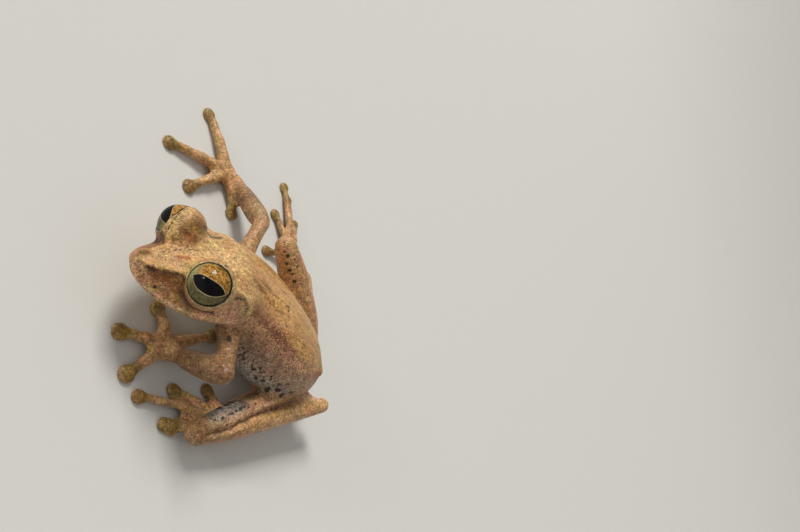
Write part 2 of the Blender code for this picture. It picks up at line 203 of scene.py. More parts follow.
# along a finger or toe: how far, how high it arches, and how thick, from 0 at the thinnest to 1 at the root
digitRun = ((0.06, 0, 1), (0.25, 0.12, 0.86), (0.42, 0.28, 0.5), (0.52, 0.34, 0.52), (0.66, 0.2, 0.16),
            (0.78, 0.16, 0.2), (0.93, 0.02, 0))
palmRun = ((-0.2, 1.1), (0.3, 1.2), (0.7, 1.15), (1, 0.95))  # from wrist to palm: how far, and radius
limbs = dict(
    left=dict(
        shoulder=(10.4, 6.8, 7.8), elbow=(12.4, 15.5, 11), wrist=(13.6, 11.1, 2.3), palm=(15, 10, 1.1),
        fingers=((7.1, 4.3), (17.2, 5.2), (21.6, 11.1), (18.9, 15.9)),
        hip=(-11, 4.8, 4.4), knee=(7.7, 20.2, 3), heel=(-13.6, 7.8, 5.4),
        instep=(-1.9, 14.4, 1.9), sole=(3.5, 15.5, 1),
        toes=((5.6, 12.5), (11.2, 14.9), (16.2, 17.9), (11.3, 19.8), (10.1, 19.9)),
    ),
    right=dict(
        shoulder=(9.8, -4.6, 5.6), elbow=(7.1, -15.2, 6.1), wrist=(10.1, -22.8, 1.9), palm=(12.4, -24.2, 1.1),
        fingers=((8.9, -18.3), (18, -17), (23.5, -21.7), (18.3, -33)),
        hip=(-10, -2, 4.2), knee=(5.7, -9.6, 11), heel=(-12.6, -5.6, 1.7),
        instep=(-9.5, -15.9, 1.9), sole=(-5.5, -17.8, 1),
        toes=((-0.3, -16.6), (-0.6, -25), (-1.5, -32.2), (-2.9, -30.1), (-5.6, -26.2)),
    ),
)
# Balls that fill the thin cuts between the flesh nodes: radius at each joint
joints = dict(elbow=1.0, wrist=1.1, knee=1.6, heel=1.2, instep=0.85, shoulder=2.0, hip=1.2)
# and the neck's, on the head
neckFill = dict(place=(0.2, 0, -1.2), radii=(2.2, 6.3, 3.9))
# The hip bone's end, which stands out under the skin above the left thigh: on the trunk, with radii
rumpCorner = ((-4, 4.6, 1.1, 1.6), (-6.2, 5.2, 0.3, 1.4), (-7.9, 5.7, -0.4, 1.15))
# The loose side of the belly, which sags between the left arm and thigh: on the trunk
bellySag = dict(place=(1.2, 5.6, -4.0), radii=(6.4, 4.4, 3.7))
# The left thigh's lower fold, which fills it out down to the crease: on the floor's sizes, with radii
thighFold = (
    (6, 18.9, 3.9, 0.8), (4.1, 17.6, 4.3, 1), (2, 15.9, 4.6, 1.05), (0, 14.5, 4.8, 1.05),
    (-2.3, 12.9, 4.8, 1), (-4.6, 11.2, 4.6, 0.85),
)


def fleshCopy(name):
    item = bpy.data.objects.new("flesh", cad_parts[name].data.copy())
    bpy.context.collection.objects.link(item)
    item.data.transform(Matrix.Scale(1 / mm, 4))
    bm = bmesh.new()
    bm.from_mesh(item.data)
    bmesh.ops.remove_doubles(bm, verts=bm.verts, dist=0.002)
    bmesh.ops.recalc_face_normals(bm, faces=bm.faces)
    bm.normal_update()
    for vert in bm.verts:
        vert.co += vert.normal * skinForm["grow"]
    bm.to_mesh(item.data)
    bm.free()
    return item


def facing(way):
    return Matrix.Rotation(math.atan2(way.y, way.x), 3, "Z")


def lump(place, radii, turn=Matrix.Identity(3)):
    # a turned ellipsoid, grown like the rest of the flesh
    bpy.ops.mesh.primitive_uv_sphere_add(segments=32, ring_count=20, radius=1.0, location=tuple(place))
    item = bpy.context.object
    item.scale = [r + skinForm["grow"] for r in radii]
    item.rotation_mode = "QUATERNION"
    item.rotation_quaternion = turn.to_quaternion()
    return item


def tubeAlong(stations):
    # a round, closed tube through (place, radius) pairs
    bpy.ops.curve.primitive_bezier_curve_add()
    item = bpy.context.object
    item.location = (0, 0, 0)
    spline = item.data.splines[0]
    spline.bezier_points.add(len(stations) - 2)
    for point, (place, radius) in zip(spline.bezier_points, stations):
        point.co = place
        point.radius = radius + skinForm["grow"]
        point.handle_left_type = "AUTO"
        point.handle_right_type = "AUTO"
    item.data.dimensions = "3D"
    item.data.resolution_u = 8
    item.data.bevel_depth = 1.0
    item.data.bevel_resolution = 6
    item.data.use_fill_caps = True
    only(item)
    bpy.ops.object.convert(target="MESH")
    return bpy.context.object


def digitForms(middle, tip, digit):
    middle = onFloor(middle)
    tip = onFloor((*tip, skinForm["tipHeight"]))
    stations = []
    for share, rise, fat in digitRun:
        place = middle.lerp(tip, share)
        place.z += rise
        stations.append((place, digit["thin"] + (digit["root"] - digit["thin"]) * fat))
    pad = Vector((tip.x, tip.y, skinForm["padHeight"]))
    return [tubeAlong(stations), lump(pad, digit["disc"], facing(tip - middle))]


def webForms(middle, tips, reach):
    # thin skin between neighbouring digits, hollowed at its edge
    web = webValues
    pieces = []
    middle = onFloor(middle)
    for a, b in zip(tips, tips[1:]):
        a = onFloor((*a, web["tipHeight"])) - middle
        b = onFloor((*b, web["tipHeight"])) - middle
        if math.degrees(a.to_2d().angle(b.to_2d())) < web["apart"]:
            continue
        mid = (a / a.length + b / b.length) * min(a.length, b.length) / 2
        besideA = (a * (1 - web["lean"]) + mid * web["lean"]) * reach * web["beside"]
        besideB = (b * (1 - web["lean"]) + mid * web["lean"]) * reach * web["beside"]
        edge = [middle - (a + b).normalized() * web["behind"], middle + a * reach, middle + besideA,
                middle + mid * reach * web["hollow"], middle + besideB, middle + b * reach]
        bm = bmesh.new()
        ring = [bm.verts.new((p.x, p.y, web["low"])) for p in edge]
        face = bm.faces.new(ring)
        if face.normal.z > 0 or face.calc_area() == 0:
            face.normal_flip()
        raised = bmesh.ops.extrude_face_region(bm, geom=[face])
        lifted = [v for v in raised["geom"] if isinstance(v, bmesh.types.BMVert)]
        bmesh.ops.translate(bm, verts=lifted, vec=(0, 0, web["thickness"] + skinForm["grow"]))
        bmesh.ops.recalc_face_normals(bm, faces=bm.faces)
        mesh = bpy.data.meshes.new("web")
        bm.to_mesh(mesh)
        bm.free()
        item = bpy.data.objects.new("web", mesh)
        bpy.context.collection.objects.link(item)
        pieces.append(item)
    return pieces


def handAndFootForms(side):
    spots = limbs[side]
    pieces = []
    for kind, digit in digitValues.items():
        start, middle = Vector(spots[digit["start"]]), Vector(spots[digit["middle"]])
        for tip in spots[kind]:
            pieces += digitForms(middle, tip, digit)
        pieces.append(lump(onFloor(middle), digit["flesh"], facing(middle - start)))
        pieces.append(tubeAlong([(onFloor(start.lerp(middle, share)), radius) for share, radius in palmRun]))
        pieces += webForms(middle, spots[kind], digit["web"])
    return pieces


def jointForms(side):
    pieces = []
    for name, radius in joints.items():
        pieces.append(lump(onFloor(limbs[side][name]), (radius,) * 3))
    return pieces


def headForms():
    # the neck's filling, and full sockets that the eyeballs then press into
    pieces = [lump(onHead(neckFill["place"]), neckFill["radii"], headTurn)]
    for side in sides:
        socket = eyeValues["radius"] + eyeValues["socket"]
        pieces.append(lump(onHead(places["eye"], side), (socket,) * 3))
    return pieces


def makeSkinForm():
    flesh = [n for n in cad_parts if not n.startswith(("eye_", "hand_", "foot_"))]
    pieces = [fleshCopy(name) for name in flesh]
    pieces += headForms()
    pieces.append(tubeAlong([(trunkPlace + trunkTurn @ Vector(p), r) for *p, r in rumpCorner]))
    pieces.append(tubeAlong([(onFloor(p), r) for *p, r in thighFold]))
    pieces.append(lump(trunkPlace + trunkTurn @ Vector(bellySag["place"]), bellySag["radii"], trunkTurn))
    for side in sides:
        pieces += handAndFootForms(side)
        pieces += jointForms(side)
    deselectAll()
    for piece in pieces:
        piece.select_set(True)
    bpy.context.view_layer.objects.active = pieces[0]
    bpy.ops.object.transform_apply(location=True, rotation=True, scale=True)
    bpy.ops.object.join()
    skin = bpy.context.object
    skin.name = "frogSkin"
    remesh = skin.modifiers.new("oneSkin", "REMESH")
    remesh.mode = "VOXEL"
    remesh.voxel_size = skinForm["voxel"]
    bpy.ops.object.modifier_apply(modifier=remesh.name)
    print("skin form:", len(skin.data.vertices), "points")
    return skin


def edgesOf(mesh):
    out = np.empty(len(mesh.edges) * 2, int)
    mesh.edges.foreach_get("vertices", out)
    return out.reshape(-1, 2)


def neighbourMeans(values, edges):
    # for each point, the mean of the values at the points it is joined to
    count = np.bincount(edges.ravel(), minlength=len(values))[:, None]
    total = np.stack([
        np.bincount(edges[:, 0], values[edges[:, 1], k], len(values))
        + np.bincount(edges[:, 1], values[edges[:, 0], k], len(values)) for k in range(values.shape[1])
    ], 1)
    return total / np.maximum(count, 1)


def relax(points, edges, rounds):
    # smooths by turns of shrinking and swelling, so that thin fingers keep their thickness
    for _ in range(rounds):
        for factor in skinForm["relaxBy"]:
            points = points + factor * (neighbourMeans(points, edges) - points)
    return points


def soften(points, edges, rounds, cover):
    # plain smoothing under a soft mask
    for _ in range(rounds):
        points = points + skinForm["softenBy"] * cover[:, None] * (neighbourMeans(points, edges) - points)
    return points


def shrinkBack(points, normals):
    return points - normals * skinForm["grow"]


def finerWhere(mesh, chosen):
    # splits the chosen faces in four
    bm = bmesh.new()
    bm.from_mesh(mesh)
    bm.verts.ensure_lookup_table()
    edges = [e for e in bm.edges if chosen[e.verts[0].index] and chosen[e.verts[1].index]]
    bmesh.ops.subdivide_edges(bm, edges=edges, cuts=1, use_grid_fill=True)
    bmesh.ops.triangulate(bm, faces=[f for f in bm.faces if len(f.verts) > 4])
    bm.to_mesh(mesh)
    bm.free()


# Sculpting: lines and places in the head's frame, alike on both sides
lipLine = (
    (15.6, 0, -1.45), (15.5, 1, -1.5), (15.15, 2, -1.8), (14.3, 3.1, -2.1), (12.8, 4.4, -2.5),
    (10.8, 5.5, -2.8), (8.2, 6.5, -3.1), (5.5, 7.1, -3.3), (3, 7.4, -3.5), (1.6, 7.5, -3.6),
)
headRidges = dict(  # line, reach and height of each ridge, or depth where it is negative
    canthus=(((14.8, 1.1, 0.6), (13.4, 1.6, 0.75), (12, 2, 0.85), (11, 2.9, 1.5)), 0.8, 0.2),
    loreal=(((13.6, 2.9, -0.4), (11.8, 3.4, -0.2), (10.4, 4.4, -0.4)), 1.5, -0.22),
    snoutTop=(((13.9, 0, 0.6), (12.6, 0, 0.9)), 1.2, -0.1),
    nostrilRim=(((14.95, 1.2, 0.45), (14.75, 1.5, 0.45)), 0.4, 0.07),
    nostrilPit=(((14.95, 1.35, 0.3), (14.75, 1.6, 0.25)), 0.26, -0.3),
    foldBehindEye=(((5, 6.3, 1.5), (3.8, 6.2, 0.75), (2.7, 6.5, 0.8), (1.9, 6.75, -0.2), (1.6, 7, -1.4)),
                   0.4, 0.07),
    underFold=(((3.9, 6.2, 0.35), (2.9, 6.5, 0.45), (2.25, 6.8, -0.3), (2.1, 6.95, -1.3)), 0.26, -0.1),
)
eardrum = dict(place=(3.05, 6.5, -0.6), axis=(-0.1, 0.9, 0.3), reach=1.8, across=1.0, rim=0.05, rimReach=0.28,
               hollow=0.07)
lips = dict(groove=0.3, grooveReach=0.26, roll=0.1, rollReach=0.9)
softAreas = (  # where the head is smoothed before it gets its features
    dict(middle=(14.5, 1.1, 0.2), ring=0, reach=1.7, rounds=45),
    dict(middle=(2.8, 6.5, -0.5), ring=0, reach=3.1, rounds=70),
    dict(middle=(7.9, 3.9, 1.6), ring=3.6, reach=1.6, rounds=50, low=(0.5, 1.7), wide=(4.4, 5.8)),
)
# the crease where the left shank is folded against the thigh, on the floor's sizes
legCrease = (
    (6.94, 20.51, 4.53), (5.68, 19.53, 4.85), (3.88, 18.35, 5.23), (2.54, 17.08, 5.52),
    (0.92, 15.63, 5.58), (-1.16, 14.05, 5.67), (-3.32, 12.52, 5.61), (-5.29, 11.02, 5.41),
    (-7.52, 9.3, 4.84),
)
legCreaseCut = dict(reach=0.8, depth=0.75)
# behind the left thigh, under the hip bone's end, with the shank's own thickness left alone
rumpHollow = dict(place=(-11.4, 6.2, 5.1), reach=4.3, depth=2.8, way=(0.73, -0.45, -0.52), shank=(1.3, 2.4))
# what is smoothed to run into the rest: the thighs' roots, the belly's loose side and the right instep, on
# the floor's sizes
bodyAreas = (
    dict(middle=(-11, 4.8, 4.6), reach=3.2, rounds=22),
    dict(middle=(-10, -2.4, 4.2), reach=3.6, rounds=30),
    dict(middle=(3, 5.6, 3.4), reach=6.5, rounds=45),
    dict(middle=(-9.3, -16.1, 2.4), reach=2.6, rounds=45),
)


def softenHead(points, edges):
    for area in softAreas:
        at = folded(inFrame(points, neckPlace, headTurn))
        gap = lengths(at - np.array(area["middle"]))
        cover = fade(np.abs(gap - area["ring"]), area["reach"])
        if "low" in area:
            cover *= step(at[:, 2], *area["low"]) * (1 - step(at[:, 1], *area["wide"]))
        points = soften(points, edges, area["rounds"], cover)
    return points


def carveCrease(points, normals):
    gap, along = lineDistance(points, [onFloor(p) for p in legCrease])
    cut = legCreaseCut["depth"] * fade(gap, legCreaseCut["reach"])
    gap = lengths(points - np.array(onFloor(rumpHollow["place"])))
    offShank, along = lineDistance(points, [onFloor(limbs["left"]["heel"]), onFloor(limbs["left"]["knee"])])
    push = rumpHollow["depth"] * fade(gap, rumpHollow["reach"]) * step(offShank, *rumpHollow["shank"])
    return points - normals * cut[:, None] + np.array(rumpHollow["way"]) * push[:, None]


def softenBody(points, edges):
    for area in bodyAreas:
        gap = lengths(points - np.array(onFloor(area["middle"])))
        points = soften(points, edges, area["rounds"], fade(gap, area["reach"]))
    return points


def sculptHead(points, normals):
    mirrored = folded(inFrame(points, neckPlace, headTurn))
    inHead = step(mirrored[:, 0], -1.5, 0.5)
    move = np.zeros(len(points))
    for line, reach, height in headRidges.values():
        gap, along = lineDistance(mirrored, line)
        move += height * fade(gap, reach)
    gap, along = lineDistance(mirrored, lipLine)
    lipHeight = np.interp(mirrored[:, 0], [p[0] for p in lipLine[::-1]], [p[2] for p in lipLine[::-1]])
    over = mirrored[:, 2] - lipHeight
    rolled = np.where(over > 0, 1, -1) * step(np.abs(over), 0.02, 0.3)
    move -= lips["groove"] * fade(gap, lips["grooveReach"])
    move += lips["roll"] * fade(gap, lips["rollReach"]) * rolled
    drumAxis = np.array(eardrum["axis"]) / np.linalg.norm(eardrum["axis"])
    out = mirrored - np.array(eardrum["place"])
    across = lengths(out - (out @ drumAxis)[:, None] * drumAxis)
    nearDrum = lengths(out) < eardrum["reach"]
    move += nearDrum * eardrum["rim"] * fade(np.abs(across - eardrum["across"]), eardrum["rimReach"])
    move -= nearDrum * eardrum["hollow"] * fade(across, eardrum["across"])
    return points + normals * (move * inHead)[:, None]


def pastRim(points, side):
    # how far each point is from the eyeball's middle, in mm, and past the lids' edge, in degrees
    middle, axis, level, upright = eyeFrame(side)
    out = points - np.array(middle)
    far = lengths(out)
    way = out / far[:, None]
    ahead = way @ np.array(axis)
    droop = eyeValues["droopWay"]
    down = headTurn @ Vector((droop[0], -droop[1] * sides[side], droop[2]))
    down = (down - axis * down.dot(axis)).normalized()
    across = way - ahead[:, None] * np.array(axis)
    across /= np.maximum(lengths(across), 1e-6)[:, None]
    rim = eyeValues["rimAngle"] - eyeValues["droop"][side] * step(across @ np.array(down), 0.05, 0.95)
    off = np.degrees(np.arccos(np.clip(ahead, -1, 1)))
    return far, off - rim, eyeValues["bulge"] * fade(off, eyeValues["bulgeAngle"])


def seatEyes(points):
    # the lids' edges hug the eyeballs, their domes cover them, and the skin inside the edge goes under
    eye = eyeValues
    for side in sides:
        middle = np.array(eyeFrame(side)[0])
        far, past, bulge = pastRim(points, side)
        out = points - middle
        lift = out @ np.array(headTurn @ Vector((0, 0, 1))) / far
        lid = eye["lowerLid"] + (eye["upperLid"] - eye["lowerLid"]) * step(lift, -0.2, 0.7)
        crown = (eye["lidCrown"] - lid) * step(past, 8, 50) * step(lift, 0.0, 0.5)
        ball = eye["radius"] + bulge
        edge = ball + eye["lidEdge"] + (lid - eye["lidEdge"]) * step(past, 0, 4) + crown
        target = np.where(past < 0, ball - eye["tuck"], edge)
        pressed = step(lift, 0.1, 0.5) * (far > edge)
        cover = np.where(past < 0, 1, np.maximum(fade(past, eye["hug"]), pressed))
        cover *= fade(far - eye["reach"], eye["reachFade"])
        moved = far + (target - far) * cover
        near = far < eye["reach"] + eye["reachFade"]
        points = np.where(near[:, None], middle + out * (moved / far)[:, None], points)
    return points


def onOrAboveFloor(points):
    return np.column_stack([points[:, :2], np.maximum(points[:, 2], 0)])


skin = makeSkinForm()
mesh = skin.data
reshape(mesh, relax, edgesOf(mesh), skinForm["rounds"]["joined"])
reshape(mesh, shrinkBack, takePoints(mesh, "normals"))
reshape(mesh, relax, edgesOf(mesh), skinForm["rounds"]["shrunk"])
reshape(mesh, carveCrease, takePoints(mesh, "normals"))
reshape(mesh, softenBody, edgesOf(mesh))
headPoints = inFrame(takePoints(mesh), neckPlace, headTurn)
headPoints = (headPoints - np.array(skinForm["finer"]["middle"])) / np.array(skinForm["finer"]["reach"])
finerWhere(mesh, lengths(headPoints) < 1)
edges = edgesOf(mesh)
reshape(mesh, relax, edges, skinForm["rounds"]["finer"])
reshape(mesh, softenHead, edges)
reshape(mesh, sculptHead, takePoints(mesh, "normals"))
reshape(mesh, seatEyes)
reshape(mesh, onOrAboveFloor)
triangles = sum(len(face.vertices) - 2 for face in mesh.polygons)
print("skin, finer:", len(mesh.vertices), "points,", triangles, "triangles")
mesh.transform(Matrix.Scale(mm, 4))
for face in mesh.polygons:
    face.use_smooth = True

# Paint: every point of the skin gets a colour, and shares of pepper, pale grains with painted glints, grain
# and streaks that the finish below turns into fine marks. Tones are as the eye sees them, from 0 to 255.
tones = dict(
    back=(206, 164, 104), backOlive=(158, 138, 76), headTop=(214, 182, 128), snoutTop=(188, 150, 100),
    belly=(206, 184, 148), flankBrown=(194, 148, 122), flankGrey=(176, 148, 128), groin=(142, 160, 174),
    mauve=(140, 88, 72), limbTop=(204, 166, 122), limbUnder=(186, 148, 114), olive=(176, 146, 98),
    pink=(198, 150, 124), pad=(146, 122, 62), padRim=(172, 148, 94), rust=(126, 76, 30), ochre=(178, 124, 68),
    darkBrown=(60, 34, 14), orange=(160, 84, 20), lipEdge=(244, 212, 174), cheek=(222, 168, 138),
    drum=(200, 156, 130), red=(184, 98, 54), canthus=(220, 182, 120), lid=(140, 106, 46),
    groinGreyAndShade=(74, 78, 82), deepShade=(48, 38, 34), armShade=(118, 90, 64), rightHandPaintedLight=(210, 172, 124),
)
paintGroups = dict(
    head=("head", "lower_jaw"), trunk=("torso",), arm=("upper_arm_", "forearm_"), hand=("hand_",),
    thigh=("thigh_",), shank=("shank_", "tarsus_"), foot=("foot_",),
)
both, left, right = "both", "left", "right"
# strokes on the head's own sizes: tone, cover, reach, side, places along it
headStrokes = (
    ("rust", 0.95, 2.5, both, ((14.2, 2.5, -0.4), (12.6, 3.2, -0.4), (10.8, 4.2, -0.6),
        (9.6, 5, -0.9))),
    ("pink", 0.7, 1.4, both, ((15.6, 0.3, -0.8), (15.4, 1.4, -0.8), (14.8, 2.4, -1.3))),
    ("ochre", 0.8, 1.1, both, ((15.6, 0, -1.1), (14.6, 2.8, -1.7), (12.8, 4.3, -2),
        (10.8, 5.4, -2.3), (8.2, 6.4, -2.6))),
    ("cheek", 1, 2.5, both, ((7, 6.5, -2), (4.6, 7, -1.7), (3, 7.1, -2.2))),
    ("drum", 0.9, 1.15, both, ((3.2, 6.5, -0.5), (2.9, 6.6, -0.8))),
    # the loreal's darker edge under the canthus ridge, deepened as painted shade
    ("darkBrown", 0.9, 0.75, both, ((14.7, 1.5, 0.3), (13.4, 2, 0.45), (12, 2.3, 0.5),
        (11.2, 3.1, 1), (10.8, 3.9, 1.2))),
    ("rust", 0.8, 1, both, ((13.8, 2.1, 0), (12, 2.8, 0.1), (11, 3.8, 0.4))),
    ("canthus", 0.85, 0.6, both, ((15.2, 0.7, 0.4), (14.7, 1.2, 0.75), (13.4, 1.5, 0.9),
        (12, 1.8, 1), (11, 2.6, 1.9))),
    ("snoutTop", 0.75, 1.9, both, ((14.2, 0.3, 0.5), (12, 0.8, 0.9), (10, 1, 1.4))),
    ("darkBrown", 0.75, 0.45, left, ((15.35, 0, -0.1), (15.15, 0.5, 0.15), (14.9, 1.2, 0.45),
        (14.3, 1.6, 0.45))),
    ("lid", 0.85, 0.85, right, ((14.95, -0.85, 0.55), (14.4, -0.8, 0.6))),
    ("darkBrown", 0.55, 0.5, right, ((14.95, -0.85, 0.55), (14.4, -0.8, 0.6))),
    ("lid", 0.9, 2.7, right, ((8.8, -3, 4.4), (7.4, -3.4, 4.8))),
    ("lid", 0.4, 2, left, ((8.6, 3.6, 4.6), (7.2, 4, 4.8))),
    ("orange", 0.6, 1, right, ((9.9, -2.2, 3.4), (9, -1.6, 3), (8.2, -1.6, 3))),
    ("darkBrown", 0.5, 0.8, right, ((10, -2.5, 3.7), (9.6, -2.2, 3.5))),
    ("orange", 0.7, 0.5, left, ((10.2, 2.7, 3.6), (9, 2.8, 4.5), (7.9, 3.7, 5.1))),
    ("orange", 0.95, 0.6, left, ((10.6, 0.1, 1.3), (9.9, 0.3, 1.45), (9.4, 0.5, 1.6))),
    ("darkBrown", 0.35, 0.25, left, ((10.4, 0.15, 1.3), (9.9, 0.3, 1.45))),
    # painted shade in the crease below the eye
    ("darkBrown", 0.85, 0.75, both, ((10.4, 4.3, -0.4), (9.7, 4.7, -1), (8.6, 5.9, -1.6),
        (7.4, 6.25, -1.8), (6.3, 6.5, -1.8))),
    ("darkBrown", 0.85, 0.7, right, ((6.6, -3, 4.1), (4.8, -3.4, 3.3), (2.8, -3.4, 2.3))),
    ("darkBrown", 0.8, 0.45, both, ((4.25, 6, 0.5), (3.45, 6.3, 0.85), (2.3, 6.35, 0.65),
        (1.65, 6.65, -0.2), (1.45, 6.95, -1.05), (1.45, 7.1, -1.9))),
    ("lipEdge", 0.95, 0.62, both, ((15.6, 0, -1.25), (14.4, 3, -1.9), (12.8, 4.4, -2.3),
        (10.8, 5.5, -2.6), (8.2, 6.5, -2.9), (5.5, 7.1, -3.1), (3, 7.4, -3.3))),
)
# strokes on the trunk's own sizes
trunkStrokes = (
    ("mauve", 0.95, 1.8, left, ((13.5, 6.2, 2.4), (10.6, 6.5, 2.3), (7.8, 6.9, 2), (2.7, 8.4, 1.6))),
    ("mauve", 0.6, 2.1, right, ((13.5, -6.2, 1.6), (7.8, -6.9, 1.6), (2.7, -8.2, 1.4))),
    ("flankBrown", 0.7, 2.4, both, ((11.5, 7, -0.4), (6, 8.4, 0.2), (0.5, 9, 0.6),
        (-5, 8, 0.4))),
    ("backOlive", 0.7, 2.4, left, ((2, 4.8, 3.8), (-2.4, 5.2, 3.2), (-6.5, 5, 1.6))),
    ("flankGrey", 0.85, 2.8, both, ((9, 7.6, -2.2), (5.5, 8.6, -1.8), (1, 9.8, -1.6),
        (-3, 9.6, -1.2))),
    ("groin", 0.9, 2.1, both, ((4.6, 8.8, -5.4), (2.4, 9.4, -5.4), (0, 9.8, -4.8), (-3, 10, -4))),
    ("red", 0.9, 1.5, both, ((-5.6, 7.6, 0.5), (-6.8, 7.1, 0.1), (-7.9, 6.4, -0.6))),
    ("pink", 0.85, 0.95, both, ((-5.9, 8, -0.5), (-5, 9.1, -1.4), (-4.7, 9.7, -2.8),
        (-4.3, 10.1, -4.1))),
)
# strokes on the left thigh and shank, on the floor's sizes
limbStrokes = (
    ("pink", 0.7, 1.7, ((7.1, 17.4, 3.9), (4.6, 16.8, 5.2), (3.4, 15.9, 5.5), (1.5, 14.4, 5.8),
        (-1.5, 12.6, 6))),
    ("groin", 0.4, 1.5, ((7.1, 18.2, 4.8), (5.8, 17.4, 5.1), (4.6, 16.4, 5.2), (3.6, 15.5, 5.4))),
    # the thigh front's own grey-blue, darkened as painted shade under the belly
    ("groinGreyAndShade", 0.95, 2, ((7.4, 17.4, 4), (5.8, 16.2, 4.3), (4.2, 15.2, 4.8), (3.2, 14.4, 5.1))),
    ("armShade", 0.6, 3.4, ((7.7, 20.6, 3.4), (5.6, 20.2, 4))),
    ("lipEdge", 0.5, 0.6, ((5.2, 19, 4.7), (2.8, 16.9, 5.6), (0.7, 14.7, 5.6), (-1.7, 12.4, 6.2))),
    ("olive", 0.75, 1.3, ((5.5, 20.6, 5), (0.9, 17, 6), (-5, 12.2, 6.3), (-10.8, 8.6, 6.4))),
    ("pink", 0.75, 1.5, ((6.5, 22.2, 3.4), (0.7, 18.2, 4.2), (-5, 13.8, 4.4), (-11.5, 9.6, 4.6))),
    # painted shade in the crease between the left thigh and shank
    ("darkBrown", 0.85, 0.42, ((5.7, 19.5, 4.5), (3.9, 18.3, 4.8), (2.5, 17, 5), (0.9, 15.6, 5),
        (-1.2, 14, 5.1), (-3.3, 12.5, 5.1), (-5.3, 11, 4.9), (-7.5, 9.3, 4.4))),
)
# thin dark lines that keep their width, and dark spots with their radii: middles on the same sizes
headLines = (
    ((13, -0.8, 0.8), (9.9, -0.95, 1.47), (7.4, -0.76, 2), (4.5, -0.68, 2.47)),
    # the second: painted shade along the right eye's front lid edge
    ((10.9, -3.4, 0.6), (11, -3.6, 2.2), (10.85, -4, 3.3), (10, -4.7, 4.4), (8.75, -5.4, 4.8)),
)
trunkLines = (
    ((10.8, 0.9, 4.45), (6.5, 1.4, 4.47), (2.1, 1.84, 4.21), (-1.5, 2, 3.9)),
    ((11.5, 2.8, 4.2), (8, 3.3, 4.3), (5.2, 3.6, 4.2)),
    ((9, -1, 4.6), (5, -0.9, 4.6)),
    ((5.2, 6.1, 3), (2, 6.6, 2.6), (0.2, 6.7, 2.4)),
    ((-3.1, 10, -4.3), (-3.6, 10, -2.6), (-4.1, 9.8, -1.5), (-4.5, 9.2, -0.55)),
)
headSpots = (
    (13.73, 3.13, -1.2, 0.18), (13.68, 3.13, -1.5, 0.15), (7.6, 4.35, 5.2, 0.22), (7.3, 4.5, 5.1, 0.17),
    (6.23, 5.32, 4.5, 0.19), (14.8, 1.5, 0.35, 0.15), (11.4, 2.4, 0.7, 0.13), (12.2, 5, -2.45, 0.12),
    (8.7, 6.4, -3, 0.12), (15.3, 1.2, -0.7, 0.12), (15.1, 1.75, -0.7, 0.1),
)
trunkSpots = (
    (12.15, 0.18, 4.5, 0.22), (5.81, 3.73, 4.23, 0.2), (5.66, 4.3, 4.1, 0.2), (-2.39, 4.55, 3.25, 0.22),
    (4.4, 9.4, -3.8, 0.3), (4.9, 9.1, -3.5, 0.2), (4.1, 9.5, -3.5, 0.2), (2.9, 9.8, -4.4, 0.3),
    (1.7, 9.9, -4.1, 0.38), (1, 9.9, -3.1, 0.28), (-0.7, 9.9, -2.9, 0.32), (-1.2, 10.2, -1.7, 0.26),
    (-0.5, 9.8, -4.8, 0.5), (-2.2, 9.6, -4, 0.5), (6.6, 7.9, -4.3, 0.2), (5.2, 8.9, -2.9, 0.18),
    (-3.2, 10, -4.4, 0.4), (-3.6, 10, -2.6, 0.34), (3.8, 9.4, -2.9, 0.2), (3.2, 9.7, -3.4, 0.2),
    (2.2, 9.9, -3.4, 0.2), (1.5, 9.8, -2.7, 0.22), (2.7, 9.6, -2.8, 0.16), (6, 8.4, -3.9, 0.24),
    (7.8, 7.2, -3.4, 0.2), (-5.2, 9.2, -2.2, 0.2), (8.6, 7.3, -2.6, 0.2), (6.4, 7.9, -3.2, 0.2),
)
limbLines = (((12.08, 9.6, 10), (12.12, 10.2, 10.25)),)
limbSpots = (
    (5.8, 15.9, 3.7, 0.5), (4.9, 15.1, 4.1, 0.46), (4, 14.3, 3.9, 0.45), (7.1, 18.4, 4.8, 0.24),
    (5.7, 17.7, 5.1, 0.3), (4.7, 16.6, 5.3, 0.26), (5, 16.9, 5.2, 0.2), (3.4, 15.2, 5.5, 0.34),
    (3.9, 15.8, 5.4, 0.26), (3, 14.9, 5.5, 0.24), (2.3, 14.6, 5.6, 0.22), (1.2, 13.7, 5.7, 0.22),
    (4.9, 18.4, 4.9, 0.2), (2.9, 16.9, 5.5, 0.2), (1, 15, 5.6, 0.2), (-0.8, 13.6, 5.8, 0.2),
    (5.5, -7.6, 11.6, 0.32), (4.7, -6.9, 10.8, 0.28), (3.7, -6.4, 10.7, 0.35), (1.9, -5.5, 10.2, 0.32),
    (5.9, -8.9, 11.2, 0.22), (2.8, -6.1, 10.7, 0.22), (4.3, -7.9, 11.6, 0.18), (3, -7.2, 11.4, 0.2),
)
# painted shade at the root of the left thigh, under the belly: on the floor's sizes
thighRootShade = ((5.4, 14.6, 3.4), (3.2, 14, 4.5), (1.6, 12.7, 4.9), (0.4, 11.5, 5), (-1, 10.8, 5.1))
thinLine = 0.055
thickLine = 0.36
# where the pale net lies: low on the flank, on the trunk's sizes, and before the left thigh, on the floor's
netOnTrunk = ((8, 7.7, -3.4), (6, 8.4, -4.2), (4, 9.4, -4.2), (1, 9.9, -4.2), (-2.6, 9.8, -3.8))
netOnThigh = ((7, 17.8, 4.6), (5.6, 16.6, 4.8), (4.4, 15.6, 5), (3.4, 14.8, 5.2))


def linear(tone):
    share = np.array(tone) / 255
    return np.where(share <= 0.04045, share / 12.92, ((share + 0.055) / 1.055) ** 2.4)


